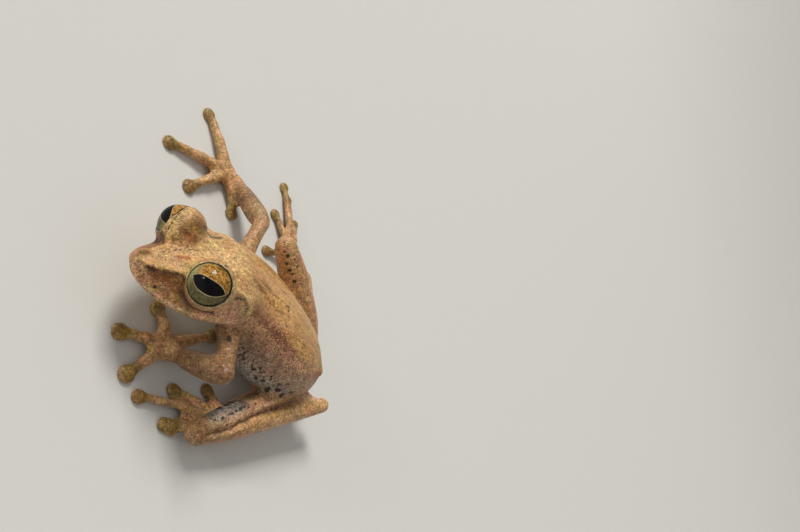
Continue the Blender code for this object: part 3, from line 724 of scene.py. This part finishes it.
def partShares(points, edges):
    # how much of each point belongs to each group of flesh nodes, softly blended where they meet
    owners, corners, faces = [], [], []
    for name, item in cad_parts.items():
        if name.startswith("eye_"):
            continue
        start = len(corners)
        corners += [v.co / mm for v in item.data.vertices]
        for face in item.data.polygons:
            faces.append([start + v for v in face.vertices])
            owners.append(next(n for n, g in enumerate(paintGroups.values()) if name.startswith(g)))
    tree = BVHTree.FromPolygons(corners, faces)
    shares = np.zeros((len(points), len(paintGroups)))
    for n, point in enumerate(points):
        shares[n, owners[tree.find_nearest(point)[2]]] = 1
    for _ in range(7):
        shares = shares + 0.8 * (neighbourMeans(shares, edges) - shares)
    return dict(zip(paintGroups, shares.T))


def onSkin(at, line, apart=0.5):
    # a line with a place every half millimetre, each moved to the nearest point of the skin
    places = []
    line = np.array(line, float)
    for a, b in zip(line, line[1:]):
        count = max(1, int(np.linalg.norm(b - a) / apart))
        places += [a + (b - a) * n / count for n in range(count)]
    places.append(line[-1])
    return [at[np.argmin(((at - place) ** 2).sum(1))] for place in places]


def strokeCover(at, side, reach, line):
    # how much a stroke covers each point; a thin one is first laid on the skin
    if side == both:
        at, line = folded(at), [(p[0], abs(p[1]), p[2]) for p in line]
    if reach < 0.9:
        line = onSkin(at, line)
    return fade(lineDistance(at, line)[0], reach)


def putValues(mesh, **values):
    for name, numbers in values.items():
        mesh.attributes.new(name, "FLOAT", "POINT").data.foreach_set("value", np.asarray(numbers, float))


def paintSkin(mesh):
    points = takePoints(mesh) / mm
    normals = takePoints(mesh, "normals")
    head = inFrame(points, neckPlace, headTurn)
    trunk = inFrame(points, trunkPlace, trunkTurn)
    floor = points - np.array(floorShift)
    share = partShares(points, edgesOf(mesh))
    paint = np.tile(linear(tones["back"]), (len(points), 1))

    def brush(tone, cover):
        paint[:] += np.clip(cover, 0, 1)[:, None] * (linear(tones[tone]) - paint)

    # the trunk: back, flanks and belly by how far round it a point lies
    outward = np.hypot(trunk[:, 1], np.clip(-7 - trunk[:, 0], 0, None))
    lean = np.degrees(np.arctan2(trunk[:, 2] + 0.3, outward))
    brush("flankGrey", share["trunk"] * (1 - step(lean, -12, 22)))
    brush("belly", share["trunk"] * (1 - step(lean, -58, -34)))
    for tone, cover, reach, side, line in trunkStrokes:
        brush(tone, cover * share["trunk"] * strokeCover(trunk, side, reach, line))
    # the head
    headUp = (normals @ np.array(headTurn))[:, 2]
    brush("headTop", share["head"])
    brush("flankGrey", share["head"] * (1 - step(head[:, 0], 0.0, 2.6)) * (1 - step(lean, -5, 20)))
    brush("pink", share["head"] * (1 - step(headUp, -0.2, 0.35)) * 0.6)
    brush("belly", share["head"] * (1 - step(head[:, 2], -4.2, -3.3)))
    for tone, cover, reach, side, line in headStrokes:
        brush(tone, cover * np.minimum(1, share["head"] * 1.5) * strokeCover(head, side, reach, line))
    # the limbs: browner on top, paler underneath, olive discs with paler rims
    limb = sum(share[name] for name in ("arm", "hand", "thigh", "shank", "foot"))
    brush("limbTop", limb)
    brush("limbUnder", limb * (1 - step(normals[:, 2], -0.6, 0.5)) * 0.8)
    brush("armShade", 0.8 * share["arm"] * step(floor[:, 1], 2, 6))
    brush("armShade", share["arm"] * (0.3 * step(-floor[:, 1], 2, 6) + 0.4 * step(-floor[:, 1], 16, 19)))
    # painted light on the right hand
    brush("rightHandPaintedLight", 0.5 * share["hand"] * (1 - step(floor[:, 1], -6, -2)))
    for tone, cover, reach, line in limbStrokes:
        brush(tone, cover * (share["thigh"] + share["shank"]) * strokeCover(floor, left, reach, line))
    brush("deepShade", 0.85 * strokeCover(floor, left, 1.4, thighRootShade))
    for side in sides:
        for kind, digit in digitValues.items():
            onDigits, disc = share[digit["group"]], digit["disc"][0]
            for tip in limbs[side][kind]:
                gap = lengths(floor[:, :2] - np.array(tip))
                brush("pad", onDigits * fade(gap, disc * 1.9) * 1.3)
                brush("padRim", 0.8 * onDigits * fade(np.abs(gap - disc * 1.02), 0.3))
    # shares of the fine marks
    onSide = share["head"] * (1 - step(headUp, 0.35, 0.8))
    flank = share["trunk"] * (1 - step(lean, 5, 40)) * step(lean, -60, -30)
    onCheek = share["head"] * (1 - step(head[:, 0], 6.5, 9.0)) * (1 - step(head[:, 2], 0.8, 2.0))
    pepper = 0.1 + 0.3 * onSide * (1 - step(head[:, 2], -0.5, 1.5)) - 0.12 * onCheek
    pepper += 0.4 * flank + 0.06 * limb
    # pale dots, partly pale grains and partly painted glints, most on the cheek and flanks
    glitter = 0.05 + 0.85 * onCheek + 0.35 * flank + 0.06 * limb
    grain = 0.3 + 0.7 * flank + 0.35 * share["thigh"] + 0.3 * share["head"]
    streak = share["trunk"] * step(lean, 12, 30) + 0.5 * share["head"] * step(headUp, 0.5, 0.8)
    net = share["trunk"] * strokeCover(trunk, both, 3.0, netOnTrunk)
    net += 0.35 * (share["thigh"] + share["shank"]) * strokeCover(floor, left, 1.6, netOnThigh)
    # distances to the thin lines and spots, and past the lids' edges, which the finish draws sharply
    marks = np.full(len(points), 1.0)
    for at, lines, half, spots in (
        (head, headLines, thinLine, headSpots), (trunk, trunkLines, thinLine, trunkSpots),
        (floor, limbLines, thickLine, limbSpots), (folded(head), (lipLine,), thinLine, ()),
    ):
        for line in lines:
            marks = np.minimum(marks, lineDistance(at, onSkin(at, line))[0] - half)
        for *place, radius in spots:
            marks = np.minimum(marks, lengths(at - onSkin(at, [place])[0]) - radius)
    rims = [pastRim(points, side) for side in sides]
    lids = np.minimum(*[np.where(far < 4.2, past, 60) for far, past, bulge in rims])
    colours = mesh.color_attributes.new("paint", "FLOAT_COLOR", "POINT")
    colours.data.foreach_set("color", np.column_stack([paint, np.ones(len(points))]).ravel())
    putValues(mesh, pepper=pepper, glitter=glitter, grain=grain, streak=streak)
    putValues(mesh, net=net, marks=marks, lids=lids)


paintSkin(mesh)
print("skin painted")


# Finishes: small helpers that add a node with its settings and inputs, constant or linked
def addNode(tree, kind, settings=None, inputs=None):
    made = tree.nodes.new("ShaderNode" + kind)
    for name, value in (settings or {}).items():
        setattr(made, name, value)
    for name, value in (inputs or {}).items():
        if isinstance(value, bpy.types.NodeSocket):
            tree.links.new(value, made.inputs[name])
        else:
            made.inputs[name].default_value = value
    return made


def sums(tree, operation, a, b=0.0, clamp=False):
    return addNode(tree, "Math", dict(operation=operation, use_clamp=clamp), {0: a, 1: b}).outputs[0]


def times(tree, a, b, clamp=False):
    return sums(tree, "MULTIPLY", a, b, clamp)


def ramp(tree, value, low, high, least=0.0, most=1.0):
    inputs = {"Value": value, "From Min": low, "From Max": high, "To Min": least, "To Max": most}
    return addNode(tree, "MapRange", dict(interpolation_type="SMOOTHSTEP"), inputs).outputs[0]


def blend(tree, cover, under, over, mode="MIX"):
    made = addNode(tree, "Mix", dict(data_type="RGBA", blend_type=mode), {0: cover, 6: under, 7: over})
    return made.outputs[2]


def fromPoints(tree, name, what="Fac"):
    return addNode(tree, "Attribute", dict(attribute_name=name)).outputs[what]


def rgba(tone):
    return (*linear(tone), 1)


def laid(tree, colour, tone, cover, most=None):
    # a tone laid over a colour as far as the cover says, times the most that it may
    if most is not None:
        cover = times(tree, cover, most)
    return blend(tree, cover, colour, rgba(tone))


def newFinish(name, sockets):
    # a material with these values on its shader
    finish = bpy.data.materials.new(name)
    finish.use_nodes = True
    shader = finish.node_tree.nodes["Principled BSDF"]
    for socket, value in sockets.items():
        shader.inputs[socket].default_value = value
    return finish, finish.node_tree, shader


def inMillimetres(tree, stretch=(1.0, 1.0, 1.0), turn=(0.0, 0.0, 0.0)):
    # the piece's own place in mm, in a frame turned by some angles and stretched along it
    place = addNode(tree, "TexCoord").outputs["Object"]
    stretched = {"Vector": place, "Scale": [s * mm for s in stretch], "Rotation": turn}
    return addNode(tree, "Mapping", dict(vector_type="TEXTURE"), stretched).outputs[0]


def makeDotGroup():
    # small round dots in some of the cells of a fine pattern
    group = bpy.data.node_groups.new("fineDots", "ShaderNodeTree")
    for name, kind in (("Place", "Vector"), ("Scale", "Float"), ("Size", "Float"), ("Amount", "Float")):
        group.interface.new_socket(name=name, in_out="INPUT", socket_type="NodeSocket" + kind)
    group.interface.new_socket(name="Dots", in_out="OUTPUT", socket_type="NodeSocketFloat")
    given = group.nodes.new("NodeGroupInput").outputs
    cells = addNode(group, "TexVoronoi", None, {"Vector": given["Place"], "Scale": given["Scale"]})
    near = sums(group, "SUBTRACT", given["Size"], cells.outputs["Distance"])
    dot = ramp(group, near, 0.0, 0.16)
    luck = addNode(group, "SeparateColor", None, {"Color": cells.outputs["Color"]}).outputs[0]
    chosen = ramp(group, sums(group, "SUBTRACT", given["Amount"], luck), 0.0, 0.08)
    result = group.nodes.new("NodeGroupOutput")
    group.links.new(times(group, dot, chosen), result.inputs["Dots"])
    return group


dotGroup = makeDotGroup()


def dots(tree, place, scale, size, amount):
    made = tree.nodes.new("ShaderNodeGroup")
    made.node_tree = dotGroup
    tree.links.new(place, made.inputs["Place"])
    made.inputs["Scale"].default_value = scale
    made.inputs["Size"].default_value = size
    tree.links.new(amount, made.inputs["Amount"])
    return made.outputs["Dots"]


def noise(tree, place, scale, detail=3.0, rough=0.5, twist=0.0):
    inputs = {"Vector": place, "Scale": scale, "Detail": detail, "Roughness": rough, "Distortion": twist}
    return addNode(tree, "TexNoise", None, inputs).outputs["Fac"]


def shaken(tree, place, amount, scale):
    # a place shaken by a little noise
    cloud = addNode(tree, "TexNoise", None, {"Vector": place, "Scale": scale, "Detail": 2.0}).outputs["Color"]
    shift = addNode(tree, "VectorMath", dict(operation="SCALE"), {0: cloud, "Scale": amount}).outputs[0]
    return addNode(tree, "VectorMath", dict(operation="ADD"), {0: place, 1: shift}).outputs[0]


skinLook = dict(
    patchScale=0.33, patch=0.3, patchTone=(228, 172, 140),
    mottleScale=0.75, mottle=(0.7, 1.2),
    hueScale=0.9, hues=((255, 240, 238), (250, 250, 222)),
    fine=((2.3, (0.66, 1.28)), (5.0, (0.7, 1.28))),  # scale of each grain, and its darkest and lightest
    streakScale=1.15, streakLong=9.0, streak=0.75, streakTone=(112, 70, 40),
    bandScale=0.45, band=0.5, bandTone=(200, 154, 108),
    netScale=1.5, net=0.75, netGround=(84, 70, 62), netTone=(186, 180, 166),
    glitterScale=3.4, glitter=0.6, glitterTone=(236, 206, 170),
    pepperScale=3.6, pepper=0.85, pepperTone=(70, 44, 30),
    mark=0.9, markTone=(26, 20, 20),
    lidEdge=0.8, lidEdgeTone=(160, 152, 122), lidCreaseShadeTone=(16, 14, 12),
    roughness=(0.34, 0.52), granuleScale=3.4, wrinkleScale=1.6, bump=0.00013,
)


def makeSkinFinish():
    finish, tree, shader = newFinish("skinFinish", {
        "Subsurface Weight": 0.08, "Subsurface Radius": (1.0, 0.5, 0.3), "Subsurface Scale": 0.00018,
        "Specular IOR Level": 0.38,
    })
    look = skinLook
    place = inMillimetres(tree)
    colour = fromPoints(tree, "paint", "Color")
    # broad patches and mottling
    patch = ramp(tree, noise(tree, place, look["patchScale"], 2.0), 0.45, 0.68, 0.0, look["patch"])
    colour = blend(tree, patch, colour, rgba(look["patchTone"]), "MULTIPLY")
    mottle = ramp(tree, noise(tree, place, look["mottleScale"], 6.0, 0.68, 0.4), 0.3, 0.7, *look["mottle"])
    colour = blend(tree, 1.0, colour, mottle, "MULTIPLY")
    hue = ramp(tree, noise(tree, place, look["hueScale"], 4.0, 0.6), 0.42, 0.6)
    colour = blend(tree, 1.0, colour, blend(tree, hue, *[rgba(tone) for tone in look["hues"]]), "MULTIPLY")
    for scale, spread in look["fine"]:
        fine = ramp(tree, noise(tree, place, scale, 2.0, 0.6), 0.32, 0.68, *spread)
        colour = blend(tree, 1.0, colour, fine, "MULTIPLY")
    # lengthwise streaks and broader pale bands on the back
    lying = (math.radians(hold["trunkRoll"]), math.radians(hold["trunkDip"]), 0.0)
    along = inMillimetres(tree, (look["streakLong"], 1.0, 1.0), lying)
    onBack = fromPoints(tree, "streak")
    streaks = ramp(tree, noise(tree, along, look["streakScale"], 3.0, 0.6, 0.2), 0.52, 0.66)
    colour = laid(tree, colour, look["streakTone"], times(tree, streaks, onBack, True), look["streak"])
    bands = ramp(tree, noise(tree, along, look["bandScale"], 2.0), 0.45, 0.6)
    colour = laid(tree, colour, look["bandTone"], times(tree, bands, onBack, True), look["band"])
    # a pale net over dark cells, low on the flank
    cells = addNode(tree, "TexVoronoi", dict(feature="DISTANCE_TO_EDGE"),
                    {"Vector": shaken(tree, place, 0.5, 1.6), "Scale": look["netScale"]}).outputs["Distance"]
    netCover = times(tree, fromPoints(tree, "net"), look["net"])
    colour = laid(tree, colour, look["netGround"], ramp(tree, cells, 0.16, 0.34), netCover)
    colour = laid(tree, colour, look["netTone"], ramp(tree, cells, 0.15, 0.04), netCover)
    # pale dots, partly pale grains and partly painted glints, then dark pepper
    pale = dots(tree, place, look["glitterScale"], 0.42, fromPoints(tree, "glitter"))
    colour = laid(tree, colour, look["glitterTone"], pale, look["glitter"])
    dark = dots(tree, place, look["pepperScale"], 0.4, fromPoints(tree, "pepper"))
    colour = laid(tree, colour, look["pepperTone"], dark, look["pepper"])
    # thin lines and spots with slightly ragged edges
    ragged = times(tree, sums(tree, "SUBTRACT", noise(tree, place, 2.4, 2.0), 0.5), 0.4)
    marks = ramp(tree, sums(tree, "ADD", fromPoints(tree, "marks"), ragged), 0.05, -0.05)
    colour = laid(tree, colour, look["markTone"], marks, look["mark"])
    # the lids' thin silvery edge, and painted shade on their inside, in the crease where they meet the
    # eyeball
    past = fromPoints(tree, "lids")
    colour = laid(tree, colour, look["lidEdgeTone"], ramp(tree, past, 3.6, 2.6), look["lidEdge"])
    colour = laid(tree, colour, look["lidCreaseShadeTone"], ramp(tree, past, 2.0, 1.2))
    tree.links.new(colour, shader.inputs["Base Color"])
    rough = ramp(tree, noise(tree, place, 1.7, 3.0), 0.35, 0.65, *look["roughness"])
    tree.links.new(rough, shader.inputs["Roughness"])
    # relief: fine granules and shallow wrinkles
    cells = addNode(tree, "TexVoronoi", dict(feature="SMOOTH_F1"),
                    {"Vector": place, "Scale": look["granuleScale"], "Smoothness": 0.5}).outputs["Distance"]
    granules = times(tree, ramp(tree, cells, 0.55, 0.05), fromPoints(tree, "grain"))
    wrinkles = times(tree, noise(tree, place, look["wrinkleScale"], 4.0, 0.6), 0.9)
    height = sums(tree, "ADD", granules, wrinkles)
    bump = addNode(tree, "Bump", None, {"Strength": 0.8, "Distance": look["bump"], "Height": height})
    tree.links.new(bump.outputs["Normal"], shader.inputs["Normal"])
    return finish


mesh.materials.clear()
mesh.materials.append(makeSkinFinish())
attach(skin, "root")
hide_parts(*[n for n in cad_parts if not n.startswith("eye_")])

# The eyes' look, in millimetres on the iris
irisValues = dict(
    halfLength=2.26, above=0.74, below=1.14, lower=0.08,
    tip=5.0,                      # degrees by which the pupil's rear end is raised
    powerAbove=(3.6, 4.4),        # how blunt its outline is, rear and front
    powerBelow=(2.4, 2.9),
    creamRim=0.06,
    ringWidth=2.8, ringRear=3.4,  # degrees inside the lids' edge, and how many more at the rear
    rearAt=2.8,                   # how far behind the pupil's middle that is
    olive=((66, 60, 34), (128, 120, 78)), gold=((122, 76, 24), (206, 160, 82)), front=(158, 154, 104),
    net=(58, 36, 12), dots=(50, 34, 14), top=(56, 52, 26), corner=(96, 56, 26), cream=(222, 204, 158),
    pupil=(0.002, 0.002, 0.003, 1), ring=(0.003, 0.003, 0.003, 1),
)


def makeIrisFinish():
    finish, tree, shader = newFinish("irisFinish", {
        "Roughness": 0.35, "Coat Weight": 0.6, "Coat Roughness": 0.02, "Coat IOR": 1.34,
        "Specular IOR Level": 0.0,
    })
    look = irisValues
    place = inMillimetres(tree)
    up, back = fromPoints(tree, "upward"), fromPoints(tree, "rearward")
    inside = fromPoints(tree, "pupil")
    # olive below, golden orange above, paler in front
    waver = times(tree, sums(tree, "SUBTRACT", noise(tree, place, 1.6, 3.0), 0.5), 0.8)
    height = sums(tree, "ADD", up, waver)
    mottle = ramp(tree, noise(tree, place, 3.0, 5.0, 0.75), 0.32, 0.68)
    olive = blend(tree, mottle, *[rgba(tone) for tone in look["olive"]])
    mottle = ramp(tree, noise(tree, place, 2.6, 4.0, 0.75), 0.36, 0.64)
    gold = blend(tree, mottle, *[rgba(tone) for tone in look["gold"]])
    colour = blend(tree, ramp(tree, height, -0.15, 0.4), olive, gold)
    colour = laid(tree, colour, look["front"], ramp(tree, back, -1.7, -2.3, 0.0, 0.75))
    # dark net and dots over the golden part
    net = addNode(tree, "TexVoronoi", dict(feature="DISTANCE_TO_EDGE"),
                  {"Vector": shaken(tree, place, 0.22, 3.0), "Scale": 3.1}).outputs["Distance"]
    where = times(tree, ramp(tree, height, 0.1, 0.9), ramp(tree, noise(tree, place, 1.3, 2.0), 0.36, 0.56))
    colour = laid(tree, colour, look["net"], times(tree, ramp(tree, net, 0.1, 0.02), where), 0.8)
    few = dots(tree, place, 3.6, 0.4, ramp(tree, height, -1.0, 1.0, 0.12, 0.45))
    colour = laid(tree, colour, look["dots"], few, 0.75)
    # painted shade and dark reflection along the iris's top, under the lid
    colour = laid(tree, colour, look["top"], ramp(tree, height, 1.7, 2.7, 0.0, 0.7))
    # brown corner behind the pupil, pale rim, the pupil itself and the dark ring
    level = ramp(tree, sums(tree, "ABSOLUTE", up), 0.5, 0.1)
    colour = laid(tree, colour, look["corner"], times(tree, ramp(tree, back, 2.0, 2.45), level), 0.7)
    rim = ramp(tree, inside, -look["creamRim"] - 0.06, -look["creamRim"] + 0.02)
    # the pale rim shows more towards the rear and the bottom, partly a painted highlight
    rimAndHighlight = ramp(tree, sums(tree, "SUBTRACT", back, up), -0.6, 1.2, 0.45, 1.0)
    colour = laid(tree, colour, look["cream"], rim, rimAndHighlight)
    colour = blend(tree, ramp(tree, inside, -0.025, 0.02), colour, look["pupil"])
    off = sums(tree, "ADD", fromPoints(tree, "pastLid"), times(tree, back, look["ringRear"] / look["rearAt"]))
    ring = ramp(tree, off, -look["ringWidth"] - 1.0, 0.8 - look["ringWidth"])
    colour = blend(tree, ring, colour, look["ring"])
    tree.links.new(colour, shader.inputs["Base Color"])
    return finish


irisFinish = makeIrisFinish()


def makeEye(side):
    middle, axis, level, upright = eyeFrame(side)
    deselectAll()
    radius = eyeValues["radius"]
    bpy.ops.mesh.primitive_uv_sphere_add(
        segments=eyeValues["segments"], ring_count=eyeValues["rings"], radius=radius)
    eye = bpy.context.object
    eye.name = side + "Eye"
    mesh = eye.data
    points = takePoints(mesh)
    angle = np.degrees(np.arccos(np.clip(points[:, 2] / radius, -1, 1)))
    points *= (1 + eyeValues["bulge"] / radius * fade(angle, eyeValues["bulgeAngle"]))[:, None]
    putPoints(mesh, points)
    stand = Matrix((level, upright, axis)).transposed()
    flip = 1
    if stand.determinant() < 0:
        flip = -1
        stand = Matrix((-level, upright, axis)).transposed()
    mesh.transform(stand.to_4x4())
    mesh.transform(Matrix.Translation(middle))
    # what the iris is drawn by: mm to the rear and up from the middle, degrees past the lids' edge, and how
    # far inside the pupil's outline
    past = pastRim(takePoints(mesh), side)[1]
    back, up = points[:, 0] * flip, points[:, 1]
    look = irisValues
    tip = math.radians(look["tip"])
    long = back * math.cos(tip) + up * math.sin(tip)
    high = up * math.cos(tip) - back * math.sin(tip) + look["lower"]
    above, below = [np.where(long > 0, *look[which]) for which in ("powerAbove", "powerBelow")]
    power = np.where(high > 0, above, below)
    half = np.where(high > 0, look["above"], look["below"])
    inside = half * (1 - (np.abs(long) / look["halfLength"]) ** power) - np.abs(high)
    inside = np.where(points[:, 2] > 0, inside, -3)
    putValues(mesh, rearward=back, upward=up, pastLid=past, pupil=np.maximum(inside, -3))
    mesh.transform(Matrix.Scale(mm, 4))
    for face in mesh.polygons:
        face.use_smooth = True
    mesh.materials.append(irisFinish)
    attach(eye, "root")
    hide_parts("eye_" + side)


for side in sides:
    makeEye(side)
print("eyes seated")

# Floor, lights and camera
stageValues = dict(radius=6.0, wall=6.0, bend=5.2, middle=0.3, tint=(1.0, 0.98, 0.95, 1), glow=0.42)
floorSockets = {"Base Color": (0.7, 0.7, 0.68, 1), "Roughness": 0.9, "Specular IOR Level": 0.1}


def makeFloor():
    # a round pale floor that bends up into a wall far away
    deselectAll()
    rings = [(0.0, 0.0), (stageValues["middle"], 0.0)]
    radius, bend = stageValues["radius"], stageValues["bend"]
    for turn in range(0, 91, 5):
        a = math.radians(turn)
        rings.append((radius - bend + bend * math.sin(a), bend - bend * math.cos(a)))
    rings.append((radius, stageValues["wall"]))
    bpy.ops.mesh.primitive_circle_add(vertices=96, radius=rings[1][0], fill_type="TRIFAN")
    floor = bpy.context.object
    floor.name = "floor"
    bpy.ops.object.mode_set(mode="EDIT")
    bpy.ops.mesh.select_all(action="SELECT")
    bpy.ops.mesh.region_to_loop()
    for (near, low), (far, high) in zip(rings[1:], rings[2:]):
        bpy.ops.mesh.extrude_edges_move(TRANSFORM_OT_translate=dict(value=(0, 0, high - low)))
        bpy.ops.transform.resize(value=(far / near, far / near, 1))
    bpy.ops.mesh.select_all(action="SELECT")
    bpy.ops.mesh.normals_make_consistent(inside=True)
    bpy.ops.object.mode_set(mode="OBJECT")
    bpy.ops.object.shade_smooth()
    floor.data.materials.append(newFinish("floorFinish", floorSockets)[0])


makeFloor()

lamps = dict(
    key=dict(place=(1.5, -2.28, 2.64), size=1.2, watts=108.0, tint=(1.0, 0.96, 0.9)),
    fill=dict(place=(2.0, -0.1, 0.45), size=0.33, watts=4.2, tint=(1.0, 0.99, 0.97)),
)
for name, lamp in lamps.items():
    bpy.ops.object.light_add(type="AREA", location=lamp["place"])
    light = bpy.context.object
    light.name = name
    light.data.size = lamp["size"]
    light.data.energy = lamp["watts"]
    light.data.color = lamp["tint"]
    light.rotation_euler = (-Vector(lamp["place"])).to_track_quat("-Z", "Y").to_euler()

world = bpy.data.worlds.new("paleRoom")
world.use_nodes = True
world.node_tree.nodes["Background"].inputs["Color"].default_value = stageValues["tint"]
world.node_tree.nodes["Background"].inputs["Strength"].default_value = stageValues["glow"]
bpy.context.scene.world = world
bpy.context.scene.view_settings.view_transform = "Standard"

cameraValues = dict(place=(67.041, 55.538, 74.071), turn=(31.864, -57.644, -175.067), lens=31.5, sensor=36.0)
cameraData = bpy.data.cameras.new("camera")
camera = bpy.data.objects.new("camera", cameraData)
bpy.context.collection.objects.link(camera)
camera.location = onFloor(cameraValues["place"]) * mm
camera.rotation_euler = [math.radians(a) for a in cameraValues["turn"]]
cameraData.lens = cameraValues["lens"]
cameraData.sensor_width = cameraValues["sensor"]
cameraData.clip_start = 0.002
cameraData.clip_end = 50
bpy.context.scene.camera = camera
print("floor, lights and camera placed")
